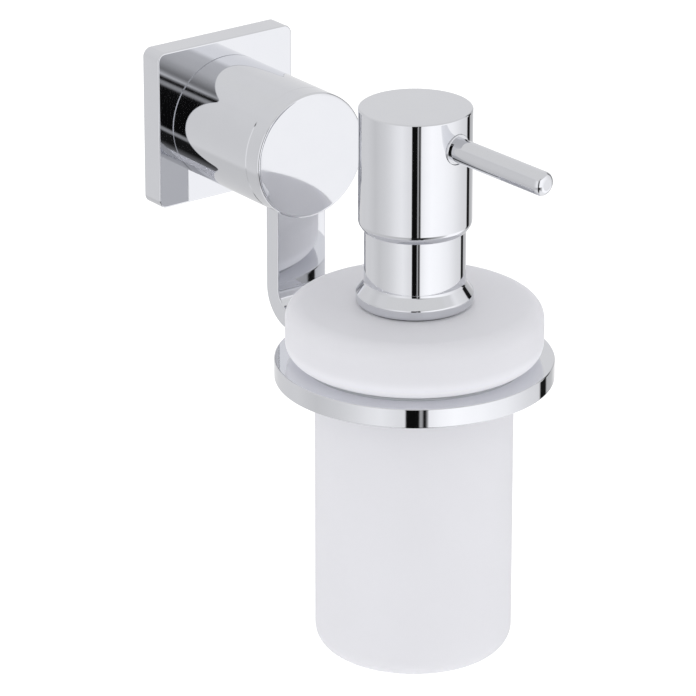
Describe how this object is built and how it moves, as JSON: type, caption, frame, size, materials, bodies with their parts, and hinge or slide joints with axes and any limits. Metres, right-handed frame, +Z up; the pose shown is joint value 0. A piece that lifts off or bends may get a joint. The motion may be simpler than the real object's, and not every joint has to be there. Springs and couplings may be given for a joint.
{
  "type": "wall mounted soap dispenser",
  "caption": "Wall mounted soap dispenser: square rosette, round post, flat strap and ring holding a frosted glass bottle with a chromed press pump and straight spout.",
  "frame": {"origin": "centre of the rosette's back, on the wall surface", "axes": "+Y into the wall, +Z up; the dispenser stands out from the wall towards -Y and is symmetric about X = 0, apart from the pump's head, which rests turned 10 degrees towards +X"},
  "size_m": [0.09, 0.1675, 0.1845],
  "materials": {
    "chrome": "polished chrome plate on cast zinc and brass",
    "frosted_glass": "satin, acid etched outside",
    "white_plastic": "moulded polypropylene",
    "clear_plastic": "milky moulded plastic",
    "seal": "matt washer",
    "zinc": "zinc plated steel",
    "stainless": "bright stainless steel"
  },
  "bodies": {
    "holder": {"wall_bracket": "zinc", "rosette": "chrome", "post_body": "chrome", "post_end_cap": "chrome", "grub_screw": "stainless", "strap_screw": "stainless", "strap_arm": "chrome", "holder_ring": "chrome", "ring_liner": "clear_plastic"},
    "bottle": {"glass_bottle": "frosted_glass", "neck_insert": "white_plastic"},
    "pump_base": {"collar_gasket": "seal", "pump_collar": "chrome", "collar_core": "white_plastic", "housing_gasket": "seal", "pump_housing": "white_plastic", "lock_ring": "white_plastic", "return_spring": "stainless", "dip_tube": "clear_plastic"},
    "inlet_valve": {"inlet_ball": "stainless"},
    "plunger": {"pump_stem": "white_plastic", "piston": "white_plastic"},
    "outlet_valve": {"outlet_ball": "stainless"},
    "head": {"pump_cap": "chrome", "head_core": "white_plastic", "spout_tube": "chrome"}
  },
  "joints": [
    {"name": "bottle_lift", "type": "slide", "parent": "holder", "child": "bottle", "axis": [0, 0, 1], "range_m": [0, 0.11]},
    {"name": "pump_lift", "type": "slide", "parent": "bottle", "child": "pump_base", "axis": [0, 0, 1], "range_m": [0, 0.115]},
    {"name": "pump_press", "type": "slide", "parent": "pump_base", "child": "plunger", "axis": [0, 0, -1], "range_m": [0, 0.012], "stiffness_N_per_m": 500, "springref_m": -0.01, "deforming": ["return_spring"]},
    {"name": "head_swivel", "type": "hinge", "parent": "plunger", "child": "head", "pos_m": [0, -0.1125, 0.0245], "axis": [0, 0, 1], "range_deg": [-150, 150]},
    {"name": "inlet_ball_lift", "type": "slide", "parent": "pump_base", "child": "inlet_valve", "axis": [0, 0, 1], "range_m": [0, 0.0015]},
    {"name": "outlet_ball_lift", "type": "slide", "parent": "plunger", "child": "outlet_valve", "axis": [0, 0, 1], "range_m": [0, 0.0012]}
  ]
}
